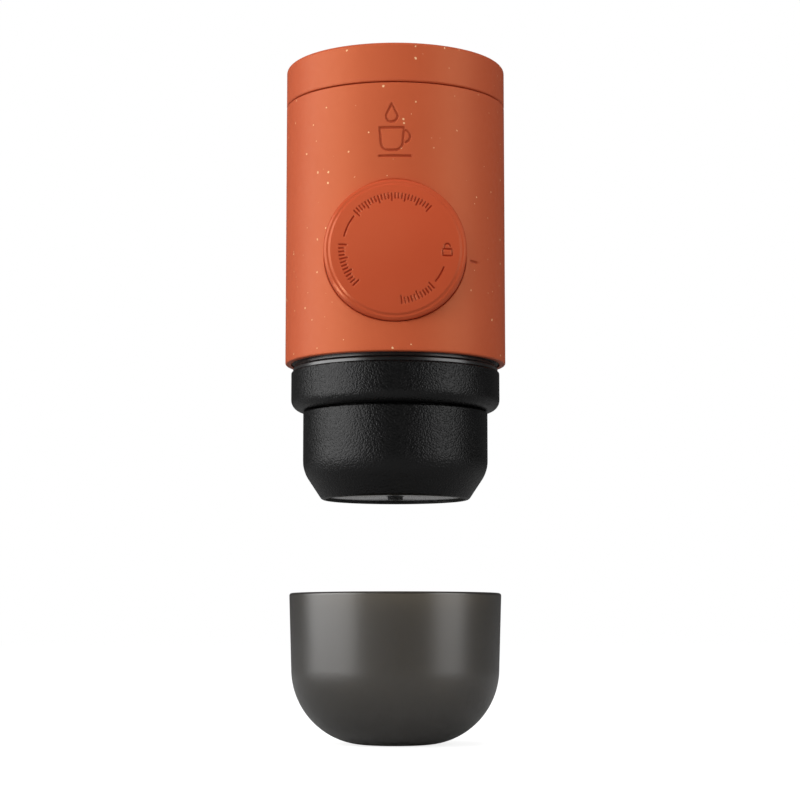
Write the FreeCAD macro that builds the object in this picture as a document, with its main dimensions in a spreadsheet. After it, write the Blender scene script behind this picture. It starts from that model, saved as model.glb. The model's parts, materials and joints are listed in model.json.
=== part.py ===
import FreeCAD, Part
import os
import re
import Sketcher

# Handheld manual espresso maker, in millimetres. +Z is up along the body's axis, the push knob
# faces -Y, and the origin is where the body's axis meets the axis of the pump.

SIZES = [
    # the orange sleeve and the tank's band above it
    ("sleeve_radius", 31.0),
    ("sleeve_wall", 1.6),
    ("sleeve_above", 46.2),
    ("sleeve_edge_round", 0.5),
    ("seam_gap", 0.3),
    ("band_height", 10.9),
    ("band_wall", 1.8),
    ("band_top_round", 1.0),
    # clearances
    ("moving_gap", 0.3),
    ("lug_gap", 0.4),
    ("running_gap", 0.08),
    ("seat_gap", 0.02),
    # the chassis inside the sleeve, with the tank's socket on top of it
    ("chassis_wall", 1.6),
    ("deck_cover", 1.4),
    ("deck_thickness", 2.1),
    ("socket_height", 10.4),
    ("floor_cover", 2.3),
    ("floor_thickness", 2.5),
    ("saddle_width", 12.0),
    ("saddle_length", 10.0),
    # the screw threads of the tank and the portafilter
    ("thread_starts", 3),
    ("thread_pitch", 4.0),
    ("thread_depth", 0.9),
    ("thread_root_width", 1.7),
    ("thread_crest_width", 1.0),
    ("thread_rise", 3.4),
    ("thread_bite", 0.3),
    ("socket_thread_inset", 4.0),
    ("collar_thread_inset", 1.6),
    # the water tank
    ("tank_wall", 1.5),
    ("tank_seal_thickness", 1.5),
    ("tank_seal_width", 2.5),
    # the push knob and its guide
    ("knob_radius", 19.0),
    ("knob_wall", 1.8),
    ("knob_proud", 4.0),
    ("knob_face_thickness", 2.0),
    ("knob_edge_round", 1.5),
    ("knob_boss_radius", 6.0),
    ("knob_boss_length", 6.0),
    ("port_gap", 0.35),
    ("guide_wall", 1.4),
    ("stop_depth", 7.4),
    ("stop_half_gap", 10.0),
    ("lug_height", 1.4),
    ("lug_width", 6.0),
    ("lug_length", 2.5),
    ("lock_ring_length", 5.2),
    ("knob_end", 1.8),
    # the pump
    ("bore_radius", 7.0),
    ("cylinder_wall", 1.6),
    ("gland_thickness", 2.0),
    ("gland_room", 1.5),
    ("rod_radius", 3.0),
    ("piston_gap", 0.1),
    ("piston_dead_length", 1.0),
    ("piston_length", 4.5),
    ("piston_end_wall", 1.5),
    ("seal_section_radius", 0.8),
    ("seal_groove_gap", 0.1),
    ("clip_thickness", 0.8),
    ("clip_depth", 0.6),
    ("clip_radius", 4.6),
    ("spring_flange_radius", 14.0),
    ("spring_flange_thickness", 2.0),
    ("return_spring_radius", 11.5),
    ("return_spring_wire", 0.7),
    ("return_spring_turns", 8),
    ("spring_seat_thickness", 1.5),
    ("spring_seat_radius", 13.6),
    # the pump's head with its two valves
    ("head_flange_thickness", 2.0),
    ("valve_room", 3.9),
    ("valve_tube_radius", 4.6),
    ("valve_axis_behind", 5.0),
    ("valve_tube_reach", 13.0),
    ("valve_chamber_radius", 3.2),
    ("valve_chamber_end", 4.0),
    ("passage_radius", 1.5),
    ("valve_seat_thickness", 2.0),
    ("poppet_radius", 2.5),
    ("poppet_thickness", 1.2),
    ("poppet_pin_radius", 1.1),
    ("poppet_pin_length", 1.5),
    ("valve_spring_radius", 1.8),
    ("valve_spring_wire", 0.25),
    ("valve_spring_turns", 4),
    ("hose_radius", 3.4),
    ("hose_bore", 2.2),
    ("intake_filter_radius", 4.4),
    ("intake_filter_thickness", 0.6),
    ("intake_hole_radius", 0.5),
    ("intake_hole_pitch", 1.9),
    ("vent_radius", 3.0),
    ("vent_room", 3.4),
    ("vent_cap_thickness", 0.8),
    ("vent_stem_radius", 1.2),
    ("vent_barb", 0.6),
    # the group head under the chassis
    ("neck_inset", 0.5),
    ("neck_strip", 2.1),
    ("channel_width", 3.0),
    ("group_outlet_place", 5.0),
    ("collar_inset", 1.7),
    ("collar_height", 11.0),
    ("collar_bottom_round", 3.2),
    ("collar_top_round", 0.6),
    ("collar_ceiling", 1.5),
    ("shower_inset", 1.0),
    ("shower_thickness", 0.5),
    ("shower_hole_radius", 0.6),
    ("shower_hole_pitch", 4.6),
    ("shower_hole_rings", 3),
    ("shower_screw_head_radius", 2.4),
    ("shower_screw_head_thickness", 0.7),
    ("shower_screw_radius", 1.2),
    ("screw_radius", 1.2),
    ("screw_head_radius", 1.8),
    ("screw_head_thickness", 1.4),
    ("screw_length", 9.0),
    ("screw_cover", 0.6),
    # the portafilter
    ("gasket_thickness", 1.2),
    ("gasket_width", 3.2),
    ("skirt_gap", 0.4),
    ("skirt_step", 3.4),
    ("skirt_height", 24.4),
    ("skirt_wall", 2.0),
    ("skirt_chamfer_height", 8.0),
    ("skirt_chamfer_width", 5.3),
    ("skirt_top_round", 0.4),
    ("skirt_corner_round", 9.6),
    ("skirt_lip_round", 1.2),
    ("lip_width", 1.0),
    ("lip_depth", 0.9),
    ("neck_wall", 2.9),
    ("core_wall", 1.3),
    ("basket_flange", 0.6),
    ("basket_flange_inset", 0.8),
    ("basket_flange_width", 3.8),
    ("basket_wall", 0.5),
    ("basket_depth", 19.5),
    ("basket_hole_radius", 0.5),
    ("basket_hole_pitch", 3.5),
    ("basket_hole_rings", 4),
    ("basket_screen_thickness", 0.3),
    ("funnel_height", 9.5),
    ("funnel_wall", 1.2),
    ("funnel_mouth_drop", 1.0),
    ("spout_radius", 2.1),
    ("spout_bore", 1.4),
    ("nozzle_radius", 6.0),
    ("plate_thickness", 0.8),
    ("plate_hole_radius", 2.6),
    # the cup
    ("cup_air", 2.0),
    ("cup_height", 41.6),
    ("cup_wall", 1.6),
    ("cup_floor", 2.2),
    ("cup_taper", 1.3),
    ("cup_bottom_round", 20.8),
    ("cup_rim_share", 0.45),
    ("cup_below_rim", 26.0),
]

# Places and sizes that follow from the driving ones, written with their names.
DERIVED = {
    # the body, from the outside in
    "sleeve_below": "guide_radius + floor_cover + floor_thickness + seam_gap",
    "seam": "sleeve_above + seam_gap",
    "tank_top": "seam + band_height",
    "sleeve_bore": "sleeve_radius - sleeve_wall",
    "port_radius": "knob_radius + port_gap",
    "chassis_radius": "sleeve_bore - moving_gap",
    "chassis_bore": "chassis_radius - chassis_wall",
    "floor_low": "-sleeve_below + seam_gap",
    "floor_top": "floor_low + floor_thickness",
    "deck_top": "guide_radius + deck_cover",
    "deck_low": "deck_top - deck_thickness",
    "socket_top": "deck_top + socket_height",
    "screw_circle": "chassis_bore - screw_head_radius - moving_gap",
    # the tank
    "tank_radius": "chassis_bore - thread_depth - moving_gap",
    "tank_bore": "tank_radius - tank_wall",
    "tank_seal_low": "deck_top + moving_gap",
    "tank_seal_top": "tank_seal_low + tank_seal_thickness",
    "tank_mouth": "tank_seal_top + moving_gap",
    "tank_roof": "tank_top - band_wall - seat_gap",
    "vent_circle": "tank_bore - vent_radius - vent_room",
    # the knob and its guide
    "lug_radius": "knob_radius + lug_height",
    "slot_radius": "lug_radius + lug_gap",
    "guide_bore": "knob_radius + moving_gap",
    "guide_radius": "slot_radius + guide_wall",
    "knob_face": "-sleeve_radius - knob_proud",
    "knob_inside": "knob_face + knob_face_thickness",
    "knob_bore": "knob_radius - knob_wall",
    "knob_skirt_end": "-knob_end - lock_ring_length",
    "lug_front": "-knob_end - lug_length",
    "guide_back": "lug_front - lug_gap",
    "guide_front": "stop_depth - chassis_radius",
    "knob_stroke": "guide_back - guide_front",
    "relief_back": "-knob_end - knob_stroke + lug_gap",
    "boss_end": "knob_inside + knob_boss_length",
    "clip_back": "boss_end + clip_thickness",
    # the pump
    "valve_axis": "chassis_bore - valve_tube_radius - valve_room",
    "cylinder_back": "valve_axis - valve_axis_behind",
    "cylinder_radius": "bore_radius + cylinder_wall",
    "piston_radius": "bore_radius - piston_gap",
    "piston_back": "cylinder_back - piston_dead_length",
    "piston_front": "piston_back - piston_length",
    "piston_middle": "piston_back - piston_length / 2",
    "cylinder_front": "piston_front - knob_stroke - gland_room",
    "seal_ring_radius": "bore_radius - running_gap - seal_section_radius",
    "rod_back": "piston_back - piston_end_wall",
    "flange_front": "-knob_end + moving_gap",
    "flange_back": "flange_front + spring_flange_thickness",
    "seat_front": "knob_inside + moving_gap",
    "seat_back": "seat_front + spring_seat_thickness",
    "head_flange_back": "cylinder_back + head_flange_thickness",
    "valve_fit_radius": "valve_chamber_radius - seat_gap",
    "inlet_seat_low": "valve_tube_reach - valve_seat_thickness",
    "inlet_poppet_top": "inlet_seat_low - moving_gap",
    "inlet_poppet_low": "inlet_poppet_top - poppet_thickness",
    "outlet_poppet_top": "-valve_chamber_end - moving_gap",
    "outlet_poppet_low": "outlet_poppet_top - poppet_thickness",
    "outlet_fitting_top": "-valve_tube_reach + valve_seat_thickness",
    # the group head and the portafilter
    "collar_radius": "sleeve_radius - collar_inset",
    "neck_radius": "collar_radius - neck_inset",
    "collar_bore": "screw_circle - screw_radius - screw_cover",
    "collar_top": "-sleeve_below - neck_strip",
    "collar_low": "collar_top - collar_height",
    "collar_middle": "collar_top + neck_strip / 2",
    "ceiling": "collar_top - collar_ceiling",
    "portafilter_neck": "collar_bore - thread_depth - moving_gap",
    "flange_radius": "portafilter_neck - basket_flange_inset",
    "basket_radius": "flange_radius - basket_flange_width",
    "neck_bore": "portafilter_neck - neck_wall",
    "core_radius": "neck_bore + core_wall",
    "gasket_bore": "flange_radius - gasket_width",
    "shower_radius": "gasket_bore - shower_inset",
    "shower_top": "ceiling - moving_gap",
    "shower_low": "shower_top - shower_thickness",
    "shower_head_low": "shower_low - shower_screw_head_thickness",
    "gasket_top": "ceiling - moving_gap",
    "gasket_low": "gasket_top - gasket_thickness",
    "basket_top": "gasket_low - moving_gap",
    "neck_top": "basket_top - basket_flange",
    "basket_low": "basket_top - basket_depth",
    "basket_bore": "basket_radius - basket_wall",
    "basket_floor": "basket_low + basket_wall",
    "skirt_radius": "collar_radius - skirt_step",
    "skirt_bore": "skirt_radius - skirt_wall",
    "skirt_top": "collar_low - skirt_gap",
    "skirt_low": "skirt_top - skirt_height",
    "skirt_shoulder": "skirt_top - skirt_wall",
    "skirt_corner": "skirt_low + skirt_chamfer_height",
    "lip_outer_radius": "skirt_radius - skirt_chamfer_width",
    "lip_radius": "lip_outer_radius - lip_width",
    "plate_low": "skirt_low + lip_depth",
    "plate_top": "plate_low + plate_thickness",
    "funnel_top": "plate_top + funnel_height",
    "funnel_mouth": "funnel_top - funnel_mouth_drop",
    "funnel_bore": "neck_bore - funnel_wall",
    # the cup
    "cup_radius": "skirt_radius + cup_air + cup_wall",
    "cup_top": "skirt_low - cup_below_rim",
    "cup_base": "cup_top - cup_height",
    "cup_base_radius": "cup_radius - cup_taper",
    "cup_inner_radius": "cup_radius - cup_wall",
    "cup_inner_floor": "cup_base + cup_floor",
    "cup_inner_base": "cup_base_radius - cup_wall + cup_floor * cup_taper / cup_height",
}

SCREWS = 4
VENT_ANGLE = 135
OVERRUN = 1.0  # how far a cutting solid reaches past what it cuts
TOUCH = 0.001  # two edges closer than this are the same one

NODES = []
NAME = re.compile(r"\b[a-z]+(?:_[a-z]+)*\b(?!\()")

doc = FreeCAD.newDocument("EspressoMaker")
sheet = doc.addObject("Spreadsheet::Sheet", "Dims")
for row, (name, size) in enumerate(SIZES, start=1):
    sheet.set(f"A{row}", name)
    sheet.set(f"B{row}", str(size))
    sheet.setAlias(f"B{row}", name)
doc.recompute()


def bound(words):
    """The expression that FreeCAD reads, from one written with the names above."""

    def full(match):
        name = match.group(0)
        if name in DERIVED:
            return "(" + bound(DERIVED[name]) + ")"
        return "Dims." + name

    return NAME.sub(full, words)


def number(words):
    """The present value of such an expression."""
    return float(sheet.evalExpression(bound(words)))


def bind(thing, field, words):
    thing.setExpression(field, bound(words))


def finished(thing, label):
    """Names an object as one of the maker's pieces."""
    thing.Label = label
    NODES.append(thing)
    return thing


def plane(body, role):
    return next(f for f in body.Origin.OriginFeatures if f.Role == role)


def body_named(name):
    return doc.addObject("PartDesign::Body", name)


def outline(body, name, points, role="XZ_Plane"):
    """A closed sketch whose corners are tied to the sheet."""
    sketch = body.newObject("Sketcher::SketchObject", name)
    sketch.AttachmentSupport = [(plane(body, role), "")]
    sketch.MapMode = "FlatFace"
    places = [FreeCAD.Vector(number(a), number(b), 0) for a, b in points]
    for here, there in zip(places, places[1:] + places[:1]):
        sketch.addGeometry(Part.LineSegment(here, there), False)
    last = len(points) - 1
    for i in range(len(points)):
        after = 0 if i == last else i + 1
        sketch.addConstraint(Sketcher.Constraint("Coincident", i, 2, after, 1))
    for i, (across, up) in enumerate(points):
        if across == "0":
            sketch.addConstraint(Sketcher.Constraint("PointOnObject", i, 1, -2))
        else:
            tie(sketch, Sketcher.Constraint("DistanceX", -1, 1, i, 1, number(across)), across)
        tie(sketch, Sketcher.Constraint("DistanceY", -1, 1, i, 1, number(up)), up)
    return sketch


def tie(sketch, constraint, words):
    index = sketch.addConstraint(constraint)
    bind(sketch, f"Constraints[{index}]", words)


def turned(name, points):
    """A body turned about its own Z axis from (radius, height) corners."""
    body = body_named(name)
    sketch = outline(body, name + "_outline", points)
    turn = body.newObject("PartDesign::Revolution", name + "_turn")
    turn.Profile = sketch
    turn.ReferenceAxis = (sketch, ["V_Axis"])
    turn.Angle = 360
    doc.recompute()
    return body


def ring(name, inner, outer, low, top):
    return turned(name, [(inner, low), (outer, low), (outer, top), (inner, top)])


def disc(name, radius, low, top):
    return turned(name, [("0", low), (radius, low), (radius, top), ("0", top)])


def rounded(body, corners, radius, name):
    """Rounds the circular edges of a turned body at the given (radius, height) corners."""
    tip = body.Tip
    edges = []
    for across, up in corners:
        r, z = number(across), number(up)
        for i, edge in enumerate(tip.Shape.Edges, start=1):
            curve = edge.Curve
            if not isinstance(curve, Part.Circle) or abs(curve.Radius - r) > TOUCH:
                continue
            if abs(edge.Vertexes[0].Point.z - z) < TOUCH:
                edges.append(f"Edge{i}")
    fillet = body.newObject("PartDesign::Fillet", name)
    fillet.Base = (tip, edges)
    bind(fillet, "Radius", radius)
    body.Tip = fillet
    doc.recompute()
    return body


def threaded(body, name, root, crest, middle):
    """Adds a multi-start thread: ridges from the root radius to the crest radius."""
    root_half, crest_half = "thread_root_width / 2", "thread_crest_width / 2"
    inward = number(crest) < number(root)
    bite = f"{root} + thread_bite" if inward else f"{root} - thread_bite"
    corners = [
        (bite, f"{middle} - {root_half}"),
        (crest, f"{middle} - {crest_half}"),
        (crest, f"{middle} + {crest_half}"),
        (bite, f"{middle} + {root_half}"),
    ]
    sketch = outline(body, name + "_outline", corners)
    doc.recompute()
    ridge = body.newObject("PartDesign::AdditiveHelix", name + "_ridge")
    ridge.Profile = sketch
    ridge.ReferenceAxis = (sketch, ["V_Axis"])
    ridge.Mode = 0
    bind(ridge, "Pitch", "thread_starts * thread_pitch")
    bind(ridge, "Height", "thread_rise")
    doc.recompute()
    starts = body.newObject("PartDesign::PolarPattern", name + "_starts")
    starts.Originals = [ridge]
    starts.Axis = (sketch, ["V_Axis"])
    starts.Angle = 360
    bind(starts, "Occurrences", "thread_starts")
    body.Tip = starts
    doc.recompute()
    return body


def coil(name, radius, wire, start, length, turns):
    """A helical spring about the body's Z axis."""
    body = body_named(name)
    sketch = body.newObject("Sketcher::SketchObject", name + "_wire")
    sketch.AttachmentSupport = [(plane(body, "XZ_Plane"), "")]
    sketch.MapMode = "FlatFace"
    centre = FreeCAD.Vector(number(radius), number(start), 0)
    sketch.addGeometry(Part.Circle(centre, FreeCAD.Vector(0, 0, 1), number(wire)), False)
    tie(sketch, Sketcher.Constraint("Radius", 0, number(wire)), wire)
    tie(sketch, Sketcher.Constraint("DistanceX", -1, 1, 0, 3, number(radius)), radius)
    tie(sketch, Sketcher.Constraint("DistanceY", -1, 1, 0, 3, number(start)), start)
    doc.recompute()
    helix = body.newObject("PartDesign::AdditiveHelix", name + "_turns")
    helix.Profile = sketch
    helix.ReferenceAxis = (sketch, ["V_Axis"])
    helix.Mode = 0
    bind(helix, "Pitch", f"({length}) / ({turns})")
    bind(helix, "Height", length)
    doc.recompute()
    return body


def along_y(thing):
    """Lays a piece turned about Z along the pump's axis, with its own +Z towards +Y."""
    thing.Placement = FreeCAD.Placement(
        FreeCAD.Vector(0, 0, 0), FreeCAD.Rotation(FreeCAD.Vector(1, 0, 0), -90)
    )
    return thing


def shifted(thing, across="0", back="0", up="0"):
    for field, words in (("x", across), ("y", back), ("z", up)):
        if words != "0":
            bind(thing, f"Placement.Base.{field}", words)
    return thing


def cylinder(name, radius, low, top, across="0", back="0"):
    """An upright cylinder between two heights."""
    rod = doc.addObject("Part::Cylinder", name)
    bind(rod, "Radius", radius)
    bind(rod, "Height", f"({top}) - ({low})")
    return shifted(rod, across, back, low)


def drilled(name, radius, low, top, across="0", back="0"):
    """A cylinder to cut an upright hole with, which runs past both heights."""
    return cylinder(name, radius, f"{low} - {OVERRUN}", f"{top} + {OVERRUN}", across, back)


def lying(name, radius, front, back):
    """A cylinder on the pump's axis between two places along Y."""
    rod = along_y(doc.addObject("Part::Cylinder", name))
    bind(rod, "Radius", radius)
    bind(rod, "Height", f"({back}) - ({front})")
    return shifted(rod, back=front)


def bored(name, radius, back, front="-sleeve_radius"):
    """A cylinder to bore a hole with along the pump's axis, which runs past the front."""
    return lying(name, radius, f"{front} - {OVERRUN}", back)


def box(name, low, high):
    """A box between two corners, each given as three expressions."""
    block = doc.addObject("Part::Box", name)
    for field, a, b in zip(("Length", "Width", "Height"), low, high):
        bind(block, field, f"({b}) - ({a})")
    return shifted(block, *low)


def joined(name, *things):
    union = doc.addObject("Part::MultiFuse", name)
    union.Shapes = list(things)
    return union


def cut(name, base, *tools):
    less = doc.addObject("Part::Cut", name)
    less.Base = base
    less.Tool = tools[0] if len(tools) == 1 else joined(name + "_tools", *tools)
    return less


def common(name, one, other):
    shared = doc.addObject("Part::Common", name)
    shared.Base = one
    shared.Tool = other
    return shared


def set_of(name, things):
    group = doc.addObject("Part::Compound", name)
    group.Links = things
    return group


def round_z(name, make, count, circle, radius, low, top, across="0", back="0"):
    """Upright cylinders or drillings evenly spaced on a circle."""
    rods = []
    for i in range(count):
        angle = f"{360 * i / count:g}"
        x = f"{across} + ({circle}) * cos({angle})"
        y = f"{back} + ({circle}) * sin({angle})"
        rods.append(make(f"{name}_{i}", radius, low, top, x, y))
    return rods


def rosette(name, rings, pitch, radius, low, top, back="0"):
    """Drillings in rings of 6, 12, 18 and so on, a pitch apart."""
    holes = []
    for i in range(1, rings + 1):
        circle = f"{i} * {pitch}"
        holes += round_z(f"{name}_{i}", drilled, 6 * i, circle, radius, low, top, back=back)
    return holes


def screw_holes(name, low, top):
    """Drillings for the screws that hold the group head to the chassis."""
    return round_z(name, drilled, SCREWS, "screw_circle", "screw_radius + seat_gap", low, top)


def body_sleeve():
    low, top = "-sleeve_below", "sleeve_above"
    tube = ring("sleeve_tube", "sleeve_bore", "sleeve_radius", low, top)
    ends = [("sleeve_radius", low), ("sleeve_radius", top)]
    rounded(tube, ends, "sleeve_edge_round", "sleeve_edges")
    finished(cut("sleeve", tube, bored("sleeve_port", "port_radius", "0")), "body_sleeve")


def chassis():
    shell = turned(
        "chassis_shell",
        [
            ("0", "floor_low"),
            ("chassis_radius", "floor_low"),
            ("chassis_radius", "deck_low"),
            ("chassis_bore", "deck_low"),
            ("chassis_bore", "floor_top"),
            ("0", "floor_top"),
        ],
    )
    port = bored("chassis_port", "guide_radius + seat_gap", "0")
    outlet = drilled("floor_outlet", "hose_bore", "floor_low", "floor_top", back="valve_axis")
    screws = screw_holes("floor_hole", "floor_low", "floor_top")
    finished(cut("frame", shell, port, outlet, *screws), "chassis")


def tank_socket():
    bore = "chassis_bore"
    body = turned(
        "socket",
        [
            ("0", "deck_low"),
            ("chassis_radius", "deck_low"),
            ("chassis_radius", "socket_top"),
            (bore, "socket_top"),
            (bore, "deck_top"),
            ("0", "deck_top"),
        ],
    )
    middle = "deck_top + socket_thread_inset"
    threaded(body, "socket_thread", bore, "chassis_bore - thread_depth", middle)
    groove = bored("deck_groove", "guide_radius + seat_gap", "guide_back + moving_gap")
    intake = drilled("deck_intake", "hose_bore", "deck_low", "deck_top", back="valve_axis")
    stem = "vent_stem_radius + running_gap"
    vent = drilled("deck_vent", stem, "deck_low", "deck_top", *vent_place())
    finished(cut("socket_body", body, groove, intake, vent), "tank_socket")


def vent_place():
    return f"vent_circle * cos({VENT_ANGLE})", f"vent_circle * sin({VENT_ANGLE})"


def chassis_core(name):
    """What lies within the chassis's outline, a little above and below the knob's guide."""
    high = "guide_radius + moving_gap"
    return cylinder(name, "chassis_radius", f"-({high})", high)


def knob_guide():
    rod = lying("guide_rod", "guide_radius", "guide_front", "guide_back")
    blank = common("guide_blank", rod, chassis_core("guide_limit"))
    bore = bored("guide_bore_tool", "guide_bore", f"guide_back + {OVERRUN}")
    relief = bored("lug_relief", "slot_radius", "relief_back")
    half = "lug_width / 2 + lug_gap"
    back = f"guide_back + {OVERRUN}"
    slots = common(
        "lug_slots",
        box("slot_box", (f"-({half})", "guide_front", "-slot_radius"), (half, back, "slot_radius")),
        lying("slot_rod", "slot_radius", "guide_front", back),
    )
    finished(cut("guide", blank, bore, relief, slots), "knob_guide")


def knob_stop_pads():
    """Two pads in front of the guide, above and below the knob, which its lugs stop against."""
    rod = lying("pads_rod", "guide_radius", "-chassis_radius", "guide_front")
    blank = common("pads_blank", rod, chassis_core("pads_limit"))
    bore = bored("pads_bore", "guide_bore", f"guide_front + {OVERRUN}")
    wide, half = f"chassis_radius + {OVERRUN}", "stop_half_gap"
    ends = f"guide_front + {OVERRUN}"
    between = box("pads_gap", (f"-({wide})", f"-({wide})", f"-{half}"), (wide, ends, half))
    finished(cut("pads", blank, bore, between), "knob_stop_pads")


def pump_saddle():
    half, back = "saddle_width / 2", "flange_back + saddle_length"
    block = box("saddle_block", (f"-{half}", "flange_back", "floor_top"), (half, back, "0"))
    bed = lying("saddle_bed", "cylinder_radius + seat_gap", "flange_front", "cylinder_back")
    finished(cut("saddle", block, bed), "pump_saddle")


def pump_cylinder():
    body = turned(
        "cylinder",
        [
            ("bore_radius", "cylinder_front"),
            ("cylinder_radius", "cylinder_front"),
            ("cylinder_radius", "flange_front"),
            ("spring_flange_radius", "flange_front"),
            ("spring_flange_radius", "flange_back"),
            ("cylinder_radius", "flange_back"),
            ("cylinder_radius", "cylinder_back"),
            ("bore_radius", "cylinder_back"),
        ],
    )
    finished(along_y(body), "pump_cylinder")


def cylinder_cap():
    front = "cylinder_front - gland_thickness"
    body = ring("gland", "rod_radius + running_gap", "cylinder_radius", front, "cylinder_front")
    finished(along_y(body), "cylinder_cap")


def pump_head():
    reach, end = "valve_tube_reach", "valve_chamber_end"
    flange = lying("head_flange", "cylinder_radius", "cylinder_back", "head_flange_back")
    tube = cylinder("valve_tube", "valve_tube_radius", f"-{reach}", reach, back="valve_axis")
    blank = joined("head_blank", flange, tube)
    chamber = "valve_chamber_radius"
    inlet = cylinder("inlet_chamber", chamber, end, f"{reach} + {OVERRUN}", back="valve_axis")
    outlet = cylinder("outlet_chamber", chamber, f"-{reach} - {OVERRUN}", f"-{end}", back="valve_axis")
    upright = drilled("upright_passage", "passage_radius", f"-{end}", end, back="valve_axis")
    level = bored("level_passage", "passage_radius", "valve_axis", "cylinder_back")
    finished(cut("head", blank, inlet, outlet, upright, level), "pump_head")


def valves():
    seat = ring("inlet_seat", "passage_radius", "valve_fit_radius", "inlet_seat_low", "valve_tube_reach")
    finished(shifted(seat, back="valve_axis"), "inlet_valve_seat")
    low, top = "-valve_tube_reach", "outlet_fitting_top"
    fitting = ring("fitting", "passage_radius", "valve_fit_radius", low, top)
    finished(shifted(fitting, back="valve_axis"), "outlet_fitting")
    poppet("inlet_poppet", "inlet_poppet_low", "inlet_poppet_top")
    poppet("outlet_poppet", "outlet_poppet_low", "outlet_poppet_top")
    valve_spring("inlet_spring", "valve_chamber_end", "inlet_poppet_low")
    valve_spring("outlet_spring", "outlet_fitting_top", "outlet_poppet_low")


def poppet(label, low, top):
    tail = f"{low} - poppet_pin_length"
    body = turned(
        label + "_body",
        [
            ("0", tail),
            ("poppet_pin_radius", tail),
            ("poppet_pin_radius", low),
            ("poppet_radius", low),
            ("poppet_radius", top),
            ("0", top),
        ],
    )
    finished(shifted(body, back="valve_axis"), label)


def valve_spring(label, low, top):
    body = coil(
        label + "_coil",
        "valve_spring_radius",
        "valve_spring_wire",
        f"{low} + valve_spring_wire",
        f"({top}) - ({low}) - 2 * valve_spring_wire",
        "valve_spring_turns",
    )
    finished(shifted(body, back="valve_axis"), label)


def hoses():
    intake = ring("intake", "hose_bore", "hose_radius", "valve_tube_reach", "deck_low")
    finished(shifted(intake, back="valve_axis"), "intake_tube")
    outlet = ring("outlet", "hose_bore", "hose_radius", "floor_top", "-valve_tube_reach")
    finished(shifted(outlet, back="valve_axis"), "outlet_tube")


def intake_filter():
    top = "deck_top + intake_filter_thickness"
    blank = cylinder("filter_disc", "intake_filter_radius", "deck_top", top, back="valve_axis")
    pitch, radius = "intake_hole_pitch", "intake_hole_radius"
    holes = rosette("filter_hole", 1, pitch, radius, "deck_top", top, back="valve_axis")
    finished(cut("filter", blank, *holes), "intake_filter")


def vent_valve():
    low, top = "deck_low - vent_barb", "deck_top + vent_cap_thickness"
    body = turned(
        "vent",
        [
            ("0", low),
            ("vent_stem_radius", low),
            ("vent_stem_radius", "deck_top"),
            ("vent_radius", "deck_top"),
            ("vent_radius", "deck_top + vent_cap_thickness / 2"),
            ("vent_stem_radius", top),
            ("0", top),
        ],
    )
    finished(shifted(body, *vent_place()), "vent_valve")


def water_channel_plate():
    blank = disc("channel_disc", "neck_radius", "collar_top", "floor_low")
    half = "channel_width / 2"
    channel = box(
        "channel",
        (f"-{half}", "group_outlet_place", f"collar_top - {OVERRUN}"),
        (half, "valve_axis + hose_bore", f"floor_low + {OVERRUN}"),
    )
    hole = "shower_screw_radius + seat_gap"
    centre = cylinder("plate_centre", hole, f"collar_top - {OVERRUN}", "collar_middle + seat_gap")
    screws = screw_holes("plate_hole", "collar_top", "floor_low")
    finished(cut("channel_plate", blank, channel, centre, *screws), "water_channel_plate")


def group_head():
    outer, bore = "collar_radius", "collar_bore"
    body = turned(
        "collar",
        [
            ("0", "ceiling"),
            (bore, "ceiling"),
            (bore, "collar_low"),
            (outer, "collar_low"),
            (outer, "collar_top"),
            ("0", "collar_top"),
        ],
    )
    rounded(body, [(outer, "collar_low")], "collar_bottom_round", "collar_bottom")
    rounded(body, [(outer, "collar_top")], "collar_top_round", "collar_shoulder")
    middle = "collar_low + collar_thread_inset"
    threaded(body, "collar_thread", bore, "collar_bore - thread_depth", middle)
    place = "group_outlet_place + passage_radius"
    water = drilled("group_water", "passage_radius", "ceiling", "collar_top", back=place)
    centre = drilled("group_centre", "shower_screw_radius + seat_gap", "ceiling", "collar_top")
    radius, tip = "screw_radius + seat_gap", "floor_top - screw_length - seat_gap"
    top = f"collar_top + {OVERRUN}"
    screws = round_z("group_hole", cylinder, SCREWS, "screw_circle", radius, tip, top)
    finished(cut("group", body, water, centre, *screws), "group_head")


def shower():
    low, top = "shower_low", "shower_top"
    blank = disc("shower_disc", "shower_radius", low, top)
    centre = drilled("shower_centre", "shower_screw_radius + seat_gap", low, top)
    rings = int(number("shower_hole_rings"))
    holes = rosette("shower_hole", rings, "shower_hole_pitch", "shower_hole_radius", low, top)
    finished(cut("shower", blank, centre, *holes), "shower_screen")
    screw = turned(
        "shower_screw_body",
        [
            ("0", "shower_head_low"),
            ("shower_screw_head_radius", "shower_head_low"),
            ("shower_screw_head_radius", low),
            ("shower_screw_radius", low),
            ("shower_screw_radius", "collar_middle"),
            ("0", "collar_middle"),
        ],
    )
    finished(screw, "shower_screw")


def chassis_screws():
    circle, tip = "screw_circle", "floor_top - screw_length"
    top = "floor_top + screw_head_thickness"
    heads = round_z("screw_head", cylinder, SCREWS, circle, "screw_head_radius", "floor_top", top)
    shanks = round_z("screw_shank", cylinder, SCREWS, circle, "screw_radius", tip, "floor_top")
    screws = [joined(f"screw_{i}", *pair) for i, pair in enumerate(zip(heads, shanks))]
    finished(set_of("screws", screws), "chassis_screws")


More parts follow.
